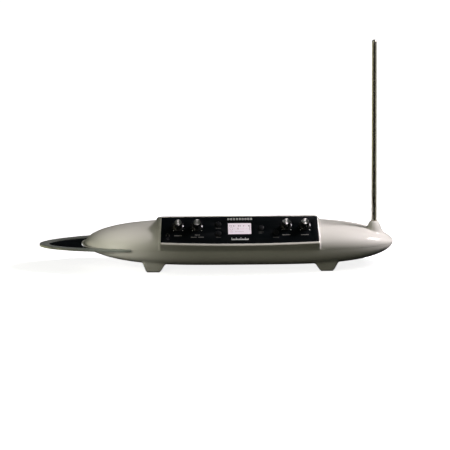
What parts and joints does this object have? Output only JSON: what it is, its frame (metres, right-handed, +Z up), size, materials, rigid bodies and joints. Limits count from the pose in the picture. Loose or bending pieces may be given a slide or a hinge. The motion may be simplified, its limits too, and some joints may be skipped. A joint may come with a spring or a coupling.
{
  "type": "theremin",
  "caption": "Table-top theremin: streamlined white case, black control panel, flat loop aerial at one end, upright rod aerial at the other.",
  "frame": {"origin": "on the table under the middle of the overall box", "axes": "+X along the case towards the upright rod, -Y towards the player and the control panel, +Z up"},
  "size_m": [0.7119, 0.16, 0.4687],
  "materials": {
    "case_white": "satin gloss",
    "pad_rubber": "matt",
    "screw_steel": "plated",
    "panel_black": "gloss",
    "window_pale": "gloss",
    "lcd_metal": "satin",
    "board_green": "satin",
    "knob_black": "satin gloss",
    "shaft_metal": "satin",
    "pot_metal": "satin",
    "button_black": "satin",
    "jack_black": "satin",
    "jack_metal": "plated",
    "brass": "machined",
    "ribbon_grey": "matt",
    "rear_black": "fine texture",
    "cone_paper": "matt",
    "magnet_ferrite": "matt",
    "loop_metal": "satin nickel",
    "infill_black": "satin",
    "lead_red": "satin",
    "rod_metal": "polished",
    "former_plastic": "matt",
    "copper_wire": "enamelled"
  },
  "bodies": {
    "case": {"upper_shell": "case_white", "lower_shell": "case_white", "foot_pads": "pad_rubber", "case_screws": "screw_steel", "control_panel": "panel_black", "display_window": "window_pale", "display_module": "lcd_metal", "front_board": "board_green", "volume_pot": "pot_metal", "pitch_pot": "pot_metal", "preset_encoder": "pot_metal", "effect_pot": "pot_metal", "control_nuts": "screw_steel", "button_bezels": "button_black", "button_switches": "button_black", "headphone_jack": "jack_metal", "main_board": "board_green", "board_spacers": "brass", "board_screws": "screw_steel", "ribbon_cable": "ribbon_grey", "rear_panel": "rear_black", "power_panel": "rear_black", "line_jack_left": "jack_black", "line_jack_right": "jack_black", "pitch_cv_jack": "jack_black", "jack_nuts": "screw_steel", "usb_port": "jack_metal", "power_inlet": "jack_black", "switch_body": "button_black", "speaker_frame": "rear_black", "speaker_cone": "cone_paper", "speaker_magnet": "magnet_ferrite", "speaker_grille": "rear_black", "volume_loop": "loop_metal", "loop_infill": "infill_black", "loop_screws": "screw_steel", "loop_lead": "lead_red", "rod_socket": "brass", "socket_nut": "screw_steel", "rod_lead": "lead_red", "coil_boards": "board_green", "coil_formers": "former_plastic", "coil_windings": "copper_wire", "stand_socket": "brass", "stand_screws": "screw_steel"},
    "volume_knob": {"volume_knob": "knob_black", "volume_shaft": "shaft_metal"},
    "pitch_knob": {"pitch_knob": "knob_black", "pitch_shaft": "shaft_metal"},
    "preset_knob": {"preset_knob": "knob_black", "preset_shaft": "shaft_metal"},
    "effect_knob": {"effect_knob": "knob_black", "effect_shaft": "shaft_metal"},
    "button_upper_left": {"button_upper_left": "button_black"},
    "button_lower_left": {"button_lower_left": "button_black"},
    "button_setup": {"button_setup": "button_black"},
    "button_scale": {"button_scale": "button_black"},
    "rocker": {"power_rocker": "button_black"},
    "rod": {"antenna_rod": "rod_metal"}
  },
  "joints": [
    {"name": "volume_turn", "type": "hinge", "parent": "case", "child": "volume_knob", "pos_m": [-0.0784, -0.04636, 0.09437], "axis": [0, -0.682, 0.7314], "range_deg": [-150, 150]},
    {"name": "pitch_turn", "type": "hinge", "parent": "case", "child": "pitch_knob", "pos_m": [-0.0404, -0.04636, 0.09437], "axis": [0, -0.682, 0.7314], "range_deg": [-150, 150]},
    {"name": "preset_turn", "type": "hinge", "parent": "case", "child": "preset_knob", "pos_m": [0.1395, -0.04636, 0.09437], "axis": [0, -0.682, 0.7314], "continuous": true},
    {"name": "effect_turn", "type": "hinge", "parent": "case", "child": "effect_knob", "pos_m": [0.1771, -0.04636, 0.09437], "axis": [0, -0.682, 0.7314], "range_deg": [-150, 150]},
    {"name": "press_upper_left", "type": "slide", "parent": "case", "child": "button_upper_left", "axis": [0, 0.682, -0.7314], "range_m": [0, 0.0008], "stiffness_N_per_m": 700, "springref_m": -0.0008},
    {"name": "press_lower_left", "type": "slide", "parent": "case", "child": "button_lower_left", "axis": [0, 0.682, -0.7314], "range_m": [0, 0.0008], "stiffness_N_per_m": 700, "springref_m": -0.0008},
    {"name": "press_setup", "type": "slide", "parent": "case", "child": "button_setup", "axis": [0, 0.682, -0.7314], "range_m": [0, 0.0008], "stiffness_N_per_m": 700, "springref_m": -0.0008},
    {"name": "press_scale", "type": "slide", "parent": "case", "child": "button_scale", "axis": [0, 0.682, -0.7314], "range_m": [0, 0.0008], "stiffness_N_per_m": 700, "springref_m": -0.0008},
    {"name": "rocker_tilt", "type": "hinge", "parent": "case", "child": "rocker", "pos_m": [-0.074, 0.073, 0.05], "axis": [0, 0, 1], "range_deg": [-16, 0]},
    {"name": "rod_lift", "type": "slide", "parent": "case", "child": "rod", "axis": [0, 0, 1], "range_m": [0, 0.036]}
  ]
}
